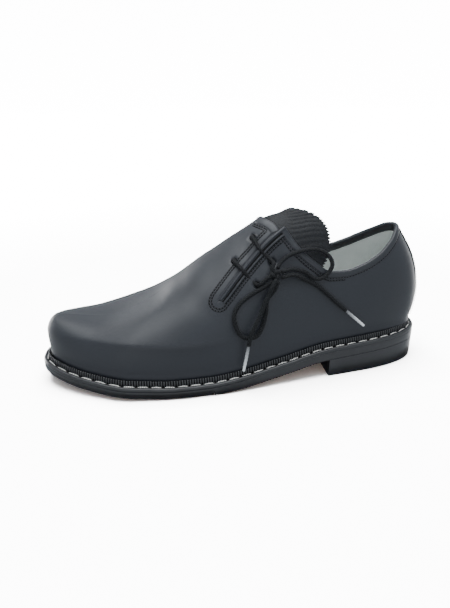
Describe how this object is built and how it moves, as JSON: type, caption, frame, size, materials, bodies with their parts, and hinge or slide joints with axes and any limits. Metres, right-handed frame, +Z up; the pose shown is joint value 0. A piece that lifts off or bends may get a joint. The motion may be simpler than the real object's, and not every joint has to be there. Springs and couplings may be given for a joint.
{
  "type": "haferl shoe",
  "caption": "Low black leather haferl shoe with a side-laced flap, pinked tongue, ribbed rand and stitched welt.",
  "frame": {"origin": "on the floor, under the middle of the shoe's length and width, measured without the bow", "axes": "+X towards the toe, +Y towards the outer (laced) side, +Z up"},
  "size_m": [0.29, 0.1022, 0.1226],
  "materials": {
    "upper_leather": "smooth satin black calf",
    "tongue_leather": "pebbled black leather",
    "welt_leather": "dyed black, waxed",
    "rand_leather": "dyed black, ribbed",
    "sole_leather": "natural tan leather, black edge",
    "insole_leather": "grey lining leather, matt",
    "sole_rubber": "matt black, fine grain",
    "heel_rubber": "smooth black",
    "lace_cord": "round braided black cord",
    "aglet_plastic": "clear film tip"
  },
  "bodies": {
    "root": {"heel": "heel_rubber", "half_sole": "sole_rubber", "outsole": "sole_leather", "welt": "welt_leather", "rand": "rand_leather", "insole": "insole_leather", "upper": "upper_leather", "backstay": "upper_leather", "tongue": "tongue_leather", "lace_bar_lower": "lace_cord", "lace_bar_upper": "lace_cord", "lace_strand_lower": "lace_cord", "lace_strand_upper": "lace_cord", "lace_knot": "lace_cord", "lace_loop_upper": "lace_cord", "lace_loop_lower": "lace_cord", "lace_end_right": "lace_cord", "lace_end_lower": "lace_cord", "aglet_right": "aglet_plastic", "aglet_lower": "aglet_plastic"}
  },
  "joints": []
}
